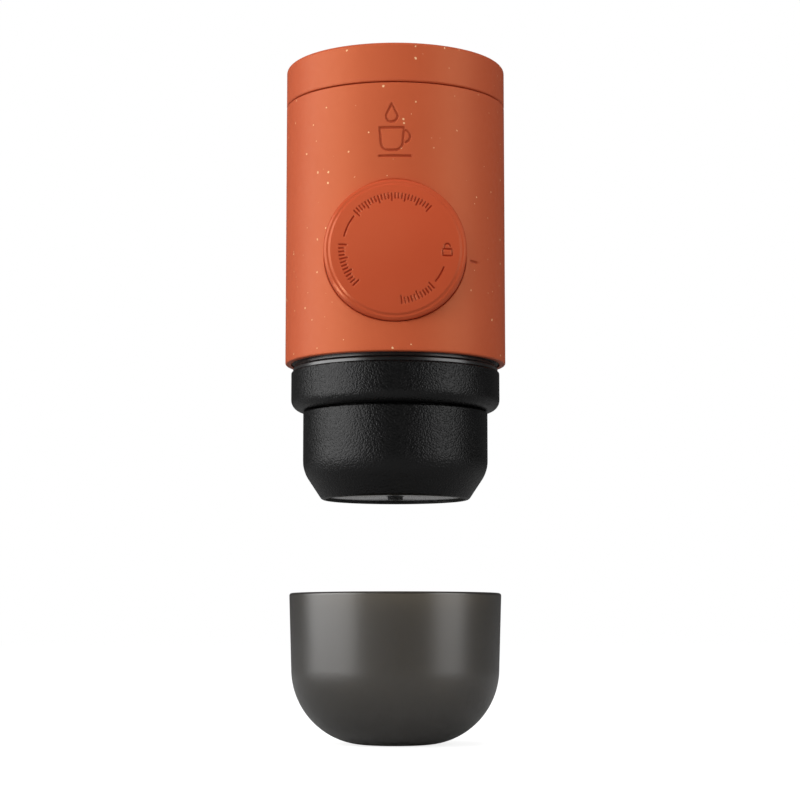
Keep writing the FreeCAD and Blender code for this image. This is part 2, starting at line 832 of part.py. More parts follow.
def plunger():
    groove = "rod_radius - clip_depth"
    rod = turned(
        "rod",
        [
            ("0", "knob_inside + moving_gap"),
            ("rod_radius", "knob_inside + moving_gap"),
            ("rod_radius", "boss_end - running_gap"),
            (groove, "boss_end - running_gap"),
            (groove, "clip_back + running_gap"),
            ("rod_radius", "clip_back + running_gap"),
            ("rod_radius", "rod_back"),
            ("0", "rod_back"),
        ],
    )
    finished(along_y(rod), "plunger_rod")
    half = "seal_section_radius + seal_groove_gap"
    floor = "seal_ring_radius - seal_section_radius"
    head = turned(
        "piston",
        [
            ("0", "rod_back"),
            ("rod_radius + seat_gap", "rod_back"),
            ("rod_radius + seat_gap", "piston_front"),
            ("piston_radius", "piston_front"),
            ("piston_radius", f"piston_middle - ({half})"),
            (floor, f"piston_middle - ({half})"),
            (floor, f"piston_middle + {half}"),
            ("piston_radius", f"piston_middle + {half}"),
            ("piston_radius", "piston_back"),
            ("0", "piston_back"),
        ],
    )
    finished(along_y(head), "piston_head")
    seal = doc.addObject("Part::Torus", "piston_ring")
    bind(seal, "Radius1", "seal_ring_radius")
    bind(seal, "Radius2", "seal_section_radius")
    finished(shifted(along_y(seal), back="piston_middle"), "piston_seal")
    hole = "knob_boss_radius + moving_gap"
    seat = ring("seat_washer", hole, "spring_seat_radius", "seat_front", "seat_back")
    finished(along_y(seat), "spring_seat")


def return_spring():
    start = "seat_back + return_spring_wire"
    length = "flange_front - seat_back - 2 * return_spring_wire"
    radius, wire, turns = "return_spring_radius", "return_spring_wire", "return_spring_turns"
    finished(along_y(coil("return_coil", radius, wire, start, length, turns)), "return_spring")


def knob():
    boss = "knob_boss_radius"
    body = turned(
        "knob_shell",
        [
            ("0", "knob_face"),
            ("knob_radius", "knob_face"),
            ("knob_radius", "knob_skirt_end"),
            ("knob_bore", "knob_skirt_end"),
            ("knob_bore", "knob_inside"),
            (boss, "knob_inside"),
            (boss, "boss_end"),
            ("rod_radius + running_gap", "boss_end"),
            ("rod_radius + running_gap", "knob_inside"),
            ("0", "knob_inside"),
        ],
    )
    rounded(body, [("knob_radius", "knob_face")], "knob_edge_round", "knob_edge")
    finished(along_y(body), "push_knob")
    finished(joined("lock_ring", lock_sleeve(), lock_lugs()), "knob_lock_ring")
    bore = "rod_radius - clip_depth + running_gap"
    clip = ring("clip_ring", bore, "clip_radius", "boss_end", "clip_back")
    finished(along_y(clip), "knob_clip")


def lock_sleeve():
    return along_y(ring("lock_sleeve", "knob_bore", "knob_radius", "knob_skirt_end", "-knob_end"))


def lock_lugs():
    """Two lugs on the lock sleeve, above and below, rooted half way into its wall."""
    half = "lug_width / 2"
    lugs = common(
        "lock_lugs",
        box("lug_box", (f"-{half}", "lug_front", "-lug_radius"), (half, "-knob_end", "lug_radius")),
        lying("lug_rod", "lug_radius", "lug_front", "-knob_end"),
    )
    core = bored("lug_core", "(knob_bore + knob_radius) / 2", f"-knob_end + {OVERRUN}", "lug_front")
    return cut("lug_ends", lugs, core)


def tank():
    inner = "tank_radius - tank_seal_width"
    finished(ring("tank_gasket", inner, "tank_radius", "tank_seal_low", "tank_seal_top"), "tank_seal")
    vessel = turned(
        "vessel",
        [
            ("tank_bore", "tank_mouth"),
            ("tank_radius", "tank_mouth"),
            ("tank_radius", "tank_roof"),
            ("0", "tank_roof"),
            ("0", "tank_roof - tank_wall"),
            ("tank_bore", "tank_roof - tank_wall"),
        ],
    )
    middle = "deck_top + socket_thread_inset + thread_pitch / 2 - 2 * seat_gap"
    threaded(vessel, "tank_thread", "tank_radius", "tank_radius + thread_depth", middle)
    finished(vessel, "water_tank")
    inside, fit = "sleeve_radius - band_wall", "tank_radius + seat_gap"
    cover = turned(
        "cover",
        [
            ("0", "tank_top - band_wall"),
            (inside, "tank_top - band_wall"),
            (inside, "seam + band_wall"),
            (fit, "seam + band_wall"),
            (fit, "seam"),
            ("sleeve_radius", "seam"),
            ("sleeve_radius", "tank_top"),
            ("0", "tank_top"),
        ],
    )
    rounded(cover, [("sleeve_radius", "tank_top")], "band_top_round", "band_top")
    rounded(cover, [("sleeve_radius", "seam")], "sleeve_edge_round", "band_edge")
    finished(cover, "tank_cover")


def portafilter():
    neck = "portafilter_neck"
    gasket = ring("gasket", "gasket_bore", "flange_radius", "gasket_low", "gasket_top")
    finished(gasket, "basket_gasket")
    core = turned(
        "core",
        [
            ("neck_bore", "neck_top"),
            (neck, "neck_top"),
            (neck, "skirt_shoulder"),
            ("core_radius", "skirt_shoulder"),
            ("core_radius", "plate_top"),
            ("neck_bore", "plate_top"),
        ],
    )
    middle = "collar_low + collar_thread_inset + thread_pitch / 2"
    threaded(core, "neck_thread", neck, "portafilter_neck + thread_depth", middle)
    finished(core, "portafilter_core")
    portafilter_skirt()
    basket()
    funnel()
    plate = ring("plate", "plate_hole_radius", "lip_radius - seat_gap", "plate_low", "plate_top")
    finished(plate, "spout_plate")


def portafilter_skirt():
    around_neck, around_core = "portafilter_neck + seat_gap", "core_radius + seat_gap"
    skirt = turned(
        "skirt",
        [
            (around_neck, "skirt_top"),
            ("skirt_radius", "skirt_top"),
            ("skirt_radius", "skirt_corner"),
            ("lip_outer_radius", "skirt_low"),
            ("lip_radius", "skirt_low"),
            ("lip_radius", "plate_top"),
            (around_core, "plate_top"),
            (around_core, "plate_top + skirt_wall"),
            ("skirt_bore", "skirt_corner"),
            ("skirt_bore", "skirt_shoulder"),
            (around_neck, "skirt_shoulder"),
        ],
    )
    rounded(skirt, [("skirt_radius", "skirt_corner")], "skirt_corner_round", "skirt_corner_edge")
    rounded(skirt, [("skirt_radius", "skirt_top")], "skirt_top_round", "skirt_shoulder_edge")
    rounded(skirt, [("lip_outer_radius", "skirt_low")], "skirt_lip_round", "skirt_lip_edge")
    finished(skirt, "portafilter_skirt")


def basket():
    bowl = turned(
        "bowl",
        [
            ("0", "basket_low"),
            ("basket_radius", "basket_low"),
            ("basket_radius", "neck_top"),
            ("flange_radius", "neck_top"),
            ("flange_radius", "basket_top"),
            ("basket_bore", "basket_top"),
            ("basket_bore", "basket_floor"),
            ("0", "basket_floor"),
        ],
    )
    low, top, radius = "basket_low", "basket_floor", "basket_hole_radius"
    rings = int(number("basket_hole_rings"))
    centre = drilled("basket_hole", radius, low, top)
    holes = rosette("basket_hole", rings, "basket_hole_pitch", radius, low, top)
    finished(cut("basket_bowl", bowl, centre, *holes), "filter_basket")
    screen_top = "basket_floor + basket_screen_thickness"
    finished(disc("screen", "basket_bore - seat_gap", "basket_floor", screen_top), "basket_screen")


def funnel():
    outer, hole = "neck_bore - seat_gap", "nozzle_radius + seat_gap"
    body = turned(
        "funnel_body",
        [
            (hole, "plate_top"),
            (outer, "plate_top"),
            (outer, "funnel_top"),
            ("funnel_bore", "funnel_top"),
            ("funnel_bore", "funnel_mouth"),
            (hole, "plate_top + funnel_wall"),
        ],
    )
    finished(body, "coffee_funnel")
    nozzle = turned(
        "nozzle",
        [
            ("spout_bore", "skirt_low"),
            ("spout_radius", "skirt_low"),
            ("spout_radius", "plate_top"),
            ("nozzle_radius", "plate_top"),
            ("nozzle_radius", "plate_top + funnel_wall"),
            ("spout_bore", "plate_top + funnel_wall"),
        ],
    )
    finished(nozzle, "spout_nozzle")


def cup():
    body = turned(
        "cup_body",
        [
            ("0", "cup_base"),
            ("cup_base_radius", "cup_base"),
            ("cup_radius", "cup_top"),
            ("cup_inner_radius", "cup_top"),
            ("cup_inner_base", "cup_inner_floor"),
            ("0", "cup_inner_floor"),
        ],
    )
    rounded(body, [("cup_base_radius", "cup_base")], "cup_bottom_round", "cup_foot")
    inside = [("cup_inner_base", "cup_inner_floor")]
    rounded(body, inside, "cup_bottom_round - cup_wall", "cup_bowl")
    rim = [("cup_radius", "cup_top"), ("cup_inner_radius", "cup_top")]
    rounded(body, rim, "cup_wall * cup_rim_share", "cup_rim")
    finished(body, "cup")


def check_and_write():
    doc.recompute()
    for thing in doc.Objects:
        if any(word in thing.State for word in ("Invalid", "Error")):
            raise RuntimeError(f"{thing.Name} did not compute: {thing.State}")
    for piece in NODES:
        if piece.Shape.isNull() or not piece.Shape.isValid():
            raise RuntimeError(f"{piece.Label} has no valid shape")
        if not piece.Shape.Solids:
            raise RuntimeError(f"{piece.Label} has no solid")
    os.makedirs("parts", exist_ok=True)
    for piece in NODES:
        piece.Shape.exportStep(f"parts/{piece.Label}.step")


body_sleeve()
chassis()
tank_socket()
knob_guide()
knob_stop_pads()
pump_saddle()
pump_cylinder()
cylinder_cap()
pump_head()
valves()
hoses()
intake_filter()
vent_valve()
water_channel_plate()
group_head()
shower()
chassis_screws()
plunger()
return_spring()
knob()
tank()
portafilter()
cup()
check_and_write()
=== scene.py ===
import json
import math
import bpy
import numpy as np
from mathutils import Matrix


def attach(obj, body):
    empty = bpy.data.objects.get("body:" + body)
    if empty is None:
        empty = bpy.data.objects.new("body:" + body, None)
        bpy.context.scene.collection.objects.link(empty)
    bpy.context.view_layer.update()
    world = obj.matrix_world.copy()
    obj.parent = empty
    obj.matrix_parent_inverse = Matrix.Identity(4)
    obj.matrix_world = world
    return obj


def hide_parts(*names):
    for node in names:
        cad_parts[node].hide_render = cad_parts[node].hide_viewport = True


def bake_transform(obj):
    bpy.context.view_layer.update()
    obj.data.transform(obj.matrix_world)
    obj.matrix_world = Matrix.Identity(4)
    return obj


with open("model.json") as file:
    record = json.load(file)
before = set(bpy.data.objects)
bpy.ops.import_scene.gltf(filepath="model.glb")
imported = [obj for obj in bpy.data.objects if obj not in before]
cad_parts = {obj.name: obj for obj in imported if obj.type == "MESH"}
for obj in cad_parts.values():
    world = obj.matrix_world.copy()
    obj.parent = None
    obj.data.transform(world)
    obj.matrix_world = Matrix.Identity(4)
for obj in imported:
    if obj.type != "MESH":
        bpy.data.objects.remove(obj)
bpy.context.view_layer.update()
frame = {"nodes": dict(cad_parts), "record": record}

# Shapes are in millimetres, with Z up and the knob facing -Y. The stage, the lights, the camera
# and the materials are in metres.
MM = 0.001
NEAR = 0.01  # places closer than this are the same

SLEEVE_R = 31.0
SLEEVE_BORE = 29.4
SLEEVE_LOW, SLEEVE_TOP = -27.3, 46.2
PORT_R = 19.35  # the knob's opening
WINDOW_U, WINDOW_Z = 25.2, 25.0  # half the size of the patch round the port, along and up
SIGN_HALF, SIGN_TOP = 5.3, 40.9  # where the cup sign's fine mesh ends
FINE = 0.14  # the mesh step under the cup sign

KNOB_FACE = -35.0  # the middle of the knob's face, along Y
KNOB_CROWN = 2.1  # how far the face falls back to its edge
KNOB_FLAT = 17.4  # the face's radius
SIGN_RING = 14.0  # the radius on which the knob's signs lie

VALVE_BACK = 19.0  # the valves' axis, along Y
FLOOR = -132.8

CAMERA_PLACE = (0.00131, -0.5672, -0.1014)
CAMERA_TILT = 6.474  # degrees upward
CAMERA_LENS, CAMERA_SENSOR = 91.23, 36.0  # in millimetres
LIGHT_AIM = (0, 0, -0.02)


# ---------------------------------------------------------------- outlines and strokes

def arc(centre, radius, start, end, count=12):
    """Points of an arc, with its angles in degrees."""
    angles = np.radians(np.linspace(start, end, count + 1))
    return [(centre[0] + radius * math.cos(a), centre[1] + radius * math.sin(a)) for a in angles]


def rounded_line(corners, count=6):
    """An open line through (across, up, radius) corners; a corner without a radius stays sharp."""
    points = [np.array(c[:2], float) for c in corners]
    line = [tuple(points[0])]
    for before, here, after, corner in zip(points, points[1:], points[2:], corners[1:-1]):
        radius = corner[2] if len(corner) > 2 else 0
        if radius == 0:
            line.append(tuple(here))
            continue
        a, b = before - here, after - here
        a, b = a / np.linalg.norm(a), b / np.linalg.norm(b)
        half = math.acos(max(-1.0, min(1.0, float(a @ b)))) / 2
        middle = (a + b) / np.linalg.norm(a + b)
        centre = here + middle * radius / math.sin(half)
        first = here + a * radius / math.tan(half) - centre
        last = here + b * radius / math.tan(half) - centre
        start = math.atan2(first[1], first[0])
        turn = math.atan2(last[1], last[0]) - start
        turn = (turn + math.pi) % (2 * math.pi) - math.pi
        line += arc(centre, radius, math.degrees(start), math.degrees(start + turn), count)
    line.append(tuple(points[-1]))
    return line


def shifted(line, shift):
    """A stroke moved across and up."""
    return [(x + shift[0], y + shift[1]) for x, y in line]


def stroke_distance(across, up, strokes):
    """How far each point lies from the nearest stroke."""
    no_length = 1e-12
    best = np.full(np.shape(across), np.inf)
    for line in strokes:
        for (ax, ay), (bx, by) in zip(line, line[1:]):
            dx, dy = bx - ax, by - ay
            t = ((across - ax) * dx + (up - ay) * dy) / max(dx * dx + dy * dy, no_length)
            t = np.clip(t, 0, 1)
            best = np.minimum(best, np.hypot(across - ax - t * dx, up - ay - t * dy))
    return best


def groove(distance, half_width, soft):
    """1 at the bottom of a groove, 0 outside it, with rounded shoulders."""
    t = np.clip((half_width + soft / 2 - distance) / soft, 0, 1)
    return t * t * (3 - 2 * t)


# ---------------------------------------------------------------- meshes

def mesh_piece(name, points, faces, sharp=32, groove_shade=None):
    """A piece from points in millimetres, smooth up to an angle; an attribute marks its engraved
    points, where the material paints shade.
    """
    mesh = bpy.data.meshes.new(name)
    mesh.from_pydata((np.asarray(points, float) * MM).tolist(), [], faces)
    mesh.update()
    mesh.shade_smooth()
    mesh.set_sharp_from_angle(angle=math.radians(sharp))
    if groove_shade is not None:
        layer = mesh.attributes.new("groove_shade", "FLOAT", "POINT")
        layer.data.foreach_set("value", np.asarray(groove_shade, np.float32))
    piece = bpy.data.objects.new(name, mesh)
    bpy.context.scene.collection.objects.link(piece)
    return piece


def turned(line, segments, along_y=False):
    """Points and faces turned from (radius, height); a line that starts off the axis is closed."""
    on_axis = 1e-6
    points, rings = [], []
    angles = np.linspace(0, 2 * math.pi, segments, endpoint=False)
    for radius, height in line:
        start = len(points)
        if radius < on_axis:
            points.append((0, 0, height))
            rings.append([start] * segments)
            continue
        points += [(radius * math.cos(a), radius * math.sin(a), height) for a in angles]
        rings.append(list(range(start, start + segments)))
    if line[0][0] > on_axis:
        rings.append(rings[0])
    faces = []
    for low, high in zip(rings, rings[1:]):
        for i in range(segments):
            j = (i + 1) % segments
            corners = [low[i], low[j], high[j], high[i]]
            face = [c for k, c in enumerate(corners) if c not in corners[:k]]
            if len(face) > 2:
                faces.append(face)
    where = np.array(points, float)
    if along_y:
        where = where[:, [0, 2, 1]] * (1, 1, -1)
    return where, faces


def place_on(piece, body, *nodes):
    """The piece stands for these nodes of the model and moves with their body."""
    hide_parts(*nodes)
    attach(piece, body)
    return piece


def steps(*stops):
    """Ascending places from (stop, step up to the next stop) pairs; the last pair's step is unused."""
    places = [stops[0][0]]
    for (start, step), (end, _) in zip(stops, stops[1:]):
        count = max(1, round((end - start) / step))
        places += [start + (end - start) * (i + 1) / count for i in range(count)]
    return places


# ---------------------------------------------------------------- the orange sleeve

def cup_sign():
    """Strokes of a plain cup with a handle, a saucer and a drop above it."""
    cup = rounded_line([(-4.2, 33.6), (-3.7, 27.4, 2.2), (1.9, 27.4, 2.2), (2.4, 33.6)])
    rim = [(-4.2, 33.6), (2.4, 33.6)]
    handle = arc((2.3, 31.2), 1.75, 78, -72)
    saucer = [(-4.3, 25.8), (4.3, 25.8)]
    drop = [(-0.9, 40.2)] + arc((-0.9, 36.8), 1.55, 153, 387, 20) + [(-0.9, 40.2)]
    return [cup, rim, handle, saucer, drop]


def index_mark():
    """A short stroke beside the port that points at the knob's signs."""
    across = [SLEEVE_R * math.asin(x / SLEEVE_R) for x in (20.7, 22.3)]
    return [[(across[0], -1.6), (across[1], -1.75)]]


def sleeve():
    """The sleeve as one shell: a grid round the body, with a fan of lines round the port."""
    half = math.pi * SLEEVE_R
    right = steps((SIGN_HALF, 1.0), (WINDOW_U, 1.5), (half, 0))
    front = steps((-SIGN_HALF, FINE), (SIGN_HALF, 0))
    across = [-half] + [-u for u in reversed(right[:-1])] + front[1:-1] + right[:-1]
    foot_edge, head_edge, lip = 0.5, 0.3, 0.4
    quarter = np.radians(np.linspace(0, 90, 6))
    foot = [(SLEEVE_R - foot_edge * (1 - math.sin(a)), SLEEVE_LOW + foot_edge * (1 - math.cos(a)))
            for a in quarter]
    head = [(SLEEVE_R - head_edge * (1 - math.cos(a)), SLEEVE_TOP - head_edge * (1 - math.sin(a)))
            for a in quarter]
    mark_low, mark_high = -3.75, 0.6
    wall = steps((SLEEVE_LOW + foot_edge, 0.9), (-WINDOW_Z, 1.25), (mark_low, 0.15), (mark_high, 1.25),
                 (WINDOW_Z, 0.5), (WINDOW_Z + FINE, FINE), (SIGN_TOP, 1.5), (SLEEVE_TOP - head_edge, 0))
    outer_rows = foot[:-1] + [(SLEEVE_R, z) for z in wall] + head[1:]
    inner_rows = [(SLEEVE_BORE, SLEEVE_LOW)]
    inner_rows += [(SLEEVE_BORE, z) for z in wall if abs(z) < WINDOW_Z + NEAR]
    inner_rows.append((SLEEVE_BORE, SLEEVE_TOP))

    points, faces = [], []

    def surface(radius, u, z):
        a = u / SLEEVE_R
        points.append((radius * math.sin(a), -radius * math.cos(a), z))
        return len(points) - 1

    def in_window(u, z):
        return abs(u) < WINDOW_U - NEAR and abs(z) < WINDOW_Z - NEAR

    def grid(rows, outward):
        """The faces round the body, without the window; returns the points by row and column."""
        index = {}
        for r, (radius, z) in enumerate(rows):
            for c, u in enumerate(across):
                if not in_window(u, z):
                    index[r, c] = surface(radius, u, z)
        count = len(across)
        for r in range(len(rows) - 1):
            for c in range(count):
                d = (c + 1) % count
                middle_u = (across[c] + (across[d] if d else half)) / 2
                if in_window(middle_u, (rows[r][1] + rows[r + 1][1]) / 2):
                    continue
                face = [index[r, c], index[r, d], index[r + 1, d], index[r + 1, c]]
                faces.append(face if outward else face[::-1])
        return index

    def window_ring(rows, index):
        """The grid's nodes round the window, in order, with their (x, z) places."""
        inside_c = [c for c, u in enumerate(across) if abs(u) < WINDOW_U + NEAR]
        inside_r = [r for r, (_, z) in enumerate(rows) if abs(z) < WINDOW_Z + NEAR]
        ring = [(inside_r[0], c) for c in inside_c]
        ring += [(r, inside_c[-1]) for r in inside_r[1:]]
        ring += [(inside_r[-1], c) for c in reversed(inside_c[:-1])]
        ring += [(r, inside_c[0]) for r in reversed(inside_r[1:-1])]
        return [index[key] for key in ring]

    def fan(ring, radius, hole, count, outward):
        """Lines from the window's edge in to the port's circle."""
        previous = ring
        ends = [(points[i][0], points[i][2]) for i in ring]
        for k in range(1, count + 1):
            s = k / count
            now = []
            for x, z in ends:
                a = math.atan2(z, x)
                px = (1 - s) * x + s * hole * math.cos(a)
                pz = (1 - s) * z + s * hole * math.sin(a)
                points.append((px, -math.sqrt(radius ** 2 - px ** 2), pz))
                now.append(len(points) - 1)
            bridge(previous, now, outward)
            previous = now
        return previous

    def bridge(one, other, outward):
        """Faces between two closed rings of as many points."""
        for i in range(len(one)):
            j = (i + 1) % len(one)
            face = [one[i], one[j], other[j], other[i]]
            faces.append(face if outward else face[::-1])

    outer = grid(outer_rows, True)
    inner = grid(inner_rows, False)
    last = fan(window_ring(outer_rows, outer), SLEEVE_R, PORT_R + lip, 26, True)
    for a in np.radians(np.linspace(0, 90, 8))[1:]:
        now = []
        for i in last:
            x, _, z = points[i]
            angle = math.atan2(z, x)
            r = PORT_R + lip * (1 - math.sin(a))
            px, pz = r * math.cos(angle), r * math.sin(angle)
            points.append((px, -math.sqrt(SLEEVE_R ** 2 - px ** 2) + lip * (1 - math.cos(a)), pz))
            now.append(len(points) - 1)
        bridge(last, now, True)
        last = now
    hole_in = fan(window_ring(inner_rows, inner), SLEEVE_BORE, PORT_R, 3, False)
    bridge(last, hole_in, True)
    columns = range(len(across))
    for row_out, row_in, outward in ((len(outer_rows) - 1, len(inner_rows) - 1, True), (0, 0, False)):
        bridge([outer[row_out, c] for c in columns], [inner[row_in, c] for c in columns], outward)

    where = np.array(points)
    radius = np.hypot(where[:, 0], where[:, 1])
    u = SLEEVE_R * np.arctan2(where[:, 0], -where[:, 1])
    depth, half_width, soft = 0.32, 0.3, 0.24
    sign = groove(stroke_distance(u, where[:, 2], cup_sign() + index_mark()), half_width, soft)
    # The groove bottoms on the outer surface are marked for painted shade.
    groove_shade = sign * (radius > SLEEVE_R - NEAR)
    where[:, :2] *= (1 - depth * groove_shade / radius)[:, None]
    piece = mesh_piece("orange_sleeve", where, faces, 40, groove_shade)
    return place_on(piece, "maker_body", "body_sleeve")


def channel_rim():
    """The channel plate's glossy rim: a bead under a recessed neck."""
    low, high, inside, neck, bead = -29.4, -27.0, 27.1, 28.2, 28.8
    corners = [(inside, low), (bead, low), (bead, low + 0.9, 0.5), (neck, low + 1.3, 0.3)]
    corners += [(neck, high), (inside, high)]
    piece = mesh_piece("channel_plate_rim", *turned(rounded_line(corners), 256))
    return place_on(piece, "maker_body", "water_channel_plate")


# ---------------------------------------------------------------- the knob

def padlock(turn):
    """Strokes of an open padlock's outline, upright at an angle of the knob's ring of signs."""
    corners = [(-1.25, -1.3, 0.3), (-1.25, 0.5, 0.3), (1.25, 0.5, 0.3), (1.25, -1.3, 0.3)]
    body = rounded_line([(0, -1.3)] + corners + [(0, -1.3)], 3)
    shackle = [(-0.75, 0.5)] + arc((0, 1.2), 0.75, 180, 0, 8)
    a = math.radians(turn)
    place = (SIGN_RING * math.cos(a), SIGN_RING * math.sin(a))
    return [shifted(line, place) for line in (body, shackle)]


def ticks(start, end, count, every):
    """Radial strokes of a dial, with a longer one at each so many."""
    strokes = []
    low, high = SIGN_RING - 1, SIGN_RING + 1
    for i in range(count):
        a = math.radians(start + (end - start) * i / (count - 1))
        inner = low if i % every == 0 else (2 * low + high) / 3
        strokes.append([(r * math.cos(a), r * math.sin(a)) for r in (inner, high)])
    return strokes


def knob_signs():
    """Strokes of two arcs, three dials of ticks and a padlock."""
    signs = [arc((0, 0), SIGN_RING, *ends) for ends in ((141.7, 166.5), (-21.5, -39.5))]
    for dial in ((137, 50, 25, 4), (176, 222, 13, 4), (-46, -83, 11, 5)):
        signs += ticks(*dial)
    return signs + padlock(-3)


def knob():
    """The push knob: a crowned face with engraved signs, a stepped edge and its skirt behind."""
    rings = steps((0.0, 1.5), (12.3, 0.13), (15.7, 0.4), (KNOB_FLAT - 0.3, 0))
    line = [(r, KNOB_FACE + KNOB_CROWN * (r / KNOB_FLAT) ** 2) for r in rings]
    rim, side = KNOB_FACE + KNOB_CROWN, 19.27
    edge = [line[-1], (KNOB_FLAT, rim, 0.2), (17.95, rim + 0.5, 0.15), (18.5, rim + 0.6, 0.2)]
    edge += [(19.05, rim + 1.1, 0.2), (side, rim + 1.5, 0.2), (side, -20.0)]
    line += rounded_line(edge)[1:]
    bore, boss, rod, back, skirt_end, boss_end = 17.2, 6.0, 3.08, -32.3, -7.0, -27.0
    line += [(side, skirt_end), (bore, skirt_end), (bore, back), (boss, back)]
    line += [(boss, boss_end), (rod, boss_end), (rod, back), (0.0, back)]
    where, faces = turned(line, 720, along_y=True)
    depth, half_width, soft = 0.2, 0.21, 0.2
    sign = groove(stroke_distance(where[:, 0], where[:, 2], knob_signs()), half_width, soft)
    reach = np.hypot(where[:, 0], where[:, 2])
    # The engraved signs are marked for painted shade in their grooves.
    groove_shade = sign * ((where[:, 1] < rim + NEAR) & (reach < SIGN_RING + 2))
    where[:, 1] += depth * groove_shade
    piece = mesh_piece("push_knob_cap", where, faces, 40, groove_shade)
    return place_on(piece, "knob", "push_knob")


def spring_coil(node, radius, wire, turns, fixed, moving, back=None):
    """A coil spring from its fixed end to its moving end.

    It lies along Y, or stands upright on the axis at back.
    """
    around, along = 10, 32 * turns
    points, faces = [], []
    for i in range(along + 1):
        a = 2 * math.pi * turns * i / along
        y = fixed + (moving - fixed) * i / along
        for k in range(around):
            b = 2 * math.pi * k / around
            r = radius + wire * math.cos(b)
            points.append((r * math.cos(a), y + wire * math.sin(b), r * math.sin(a)))
    for i in range(along):
        for k in range(around):
            j = (k + 1) % around
            here, there = i * around, (i + 1) * around
            faces.append([here + k, here + j, there + j, there + k])
    faces.append(list(range(around))[::-1])
    faces.append([along * around + k for k in range(around)])
    where = np.array(points)
    if back is not None:
        where = np.stack([where[:, 0], back - where[:, 2], where[:, 1]], axis=1)
    piece = mesh_piece(node + "_coil", where, faces, 60)
    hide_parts(node)
    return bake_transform(piece)


# ---------------------------------------------------------------- materials

class Nodes:
    """A material's node tree with a short way to add and link nodes."""

    def __init__(self, name):
        self.material = bpy.data.materials.new(name)
        self.material.use_nodes = True
        self.tree = self.material.node_tree
        self.tree.nodes.clear()
        self.out = self.add("ShaderNodeOutputMaterial")
        self.shader = self.add("ShaderNodeBsdfPrincipled")
        self.tree.links.new(self.shader.outputs[0], self.out.inputs["Surface"])

    def add(self, kind, values=None, **settings):
        node = self.tree.nodes.new(kind)
        for key, value in settings.items():
            setattr(node, key, value)
        for key, value in (values or {}).items():
            self.feed(node.inputs[key], value)
        return node

    def feed(self, socket, value):
        if isinstance(value, bpy.types.NodeSocket):
            self.tree.links.new(value, socket)
        elif isinstance(value, bpy.types.Node):
            self.tree.links.new(value.outputs[0], socket)
        else:
            socket.default_value = value

    def set(self, **values):
        for key, value in values.items():
            self.feed(self.shader.inputs[key.replace("_", " ")], value)

    def place(self):
        return self.add("ShaderNodeTexCoord").outputs["Object"]

    def math(self, operation, a, b=0.0, clamp=False):
        node = self.add("ShaderNodeMath", operation=operation, use_clamp=clamp)
        self.feed(node.inputs[0], a)
        self.feed(node.inputs[1], b)
        return node

    def noise(self, scale, detail, vector=None):
        values = {"Scale": scale, "Detail": detail, "Vector": vector or self.place()}
        return self.add("ShaderNodeTexNoise", values).outputs["Fac"]

    def ramp(self, factor, low, high, start=0.0, end=1.0):
        """A smooth step of a factor from one value to another."""
        values = {"Value": factor, "From Min": low, "From Max": high, "To Min": start, "To Max": end}
        return self.add("ShaderNodeMapRange", values, interpolation_type="SMOOTHSTEP").outputs[0]

    def spread(self, noise, start, end):
        """The same over the range in which a noise usually lies."""
        return self.ramp(noise, 0.3, 0.7, start, end)

    def mix(self, factor, one, other):
        node = self.add("ShaderNodeMix", data_type="RGBA")
        self.feed(node.inputs["Factor"], factor)
        self.feed(node.inputs[6], one)
        self.feed(node.inputs[7], other)
        return node.outputs[2]

    def tones(self, factor, tone, start, end=1.0):
        """A mix of one tone at two strengths."""
        return self.mix(factor, *[colour(*[c * k for c in tone]) for k in (start, end)])

    def bump(self, height, distance, strength):
        values = {"Height": height, "Distance": distance, "Strength": strength}
        return self.add("ShaderNodeBump", values).outputs[0]


def colour(r, g, b):
    return (r, g, b, 1.0)


def pale_flecks(n, base):
    """Sparse grains of uneven outline, size and strength over a base colour."""
    bend, smallest, largest, soft, faintest = 0.0005, 0.03, 0.12, 0.022, 0.2
    shake = n.add("ShaderNodeTexNoise", {"Scale": 1500.0, "Vector": n.place()})
    bent = n.add("ShaderNodeVectorMath", operation="MULTIPLY_ADD")
    for socket, value in zip(bent.inputs, (shake.outputs["Color"], (bend, bend, bend), n.place())):
        n.feed(socket, value)
    cells = n.add("ShaderNodeTexVoronoi", {"Scale": 335.0, "Vector": bent})
    random = n.add("ShaderNodeSeparateColor", {"Color": cells.outputs["Color"]})
    size = n.ramp(random.outputs[0], 0.0, 1.0, smallest, largest)
    grain = n.ramp(n.math("SUBTRACT", size, cells.outputs["Distance"]), 0.0, soft)
    strength = n.ramp(random.outputs[1], 0.0, 1.0, faintest, 1.0)
    return n.mix(n.math("MULTIPLY", grain, strength), base, colour(0.94, 0.62, 0.34))


def orange_plastic(name, flecks, depth, marks, rough, grain):
    """Satin moulded plastic; marks is how dark the painted shade in its cut grooves is."""
    n = Nodes(name)
    low, high = (0.54, 0.094, 0.035), (0.565, 0.102, 0.039)
    tones = [colour(r, g * depth, b * depth) for r, g, b in (low, high)]
    base = n.mix(n.noise(90, 3), *tones)
    if flecks:
        base = pale_flecks(n, base)
    groove_shade = n.add("ShaderNodeAttribute", attribute_name="groove_shade").outputs["Fac"]
    # Painted shade: the marked groove points are darkened towards a deep brown.
    base = n.mix(n.math("MULTIPLY", groove_shade, marks), base, colour(0.28, 0.018, 0.005))
    n.set(Base_Color=base, Roughness=n.spread(n.noise(600, 3), *rough))
    n.set(Specular_IOR_Level=0.8, Specular_Tint=colour(1.0, 0.5, 0.24))
    n.set(Normal=n.bump(n.noise(2600, 2), 0.00003, grain))
    return n.material


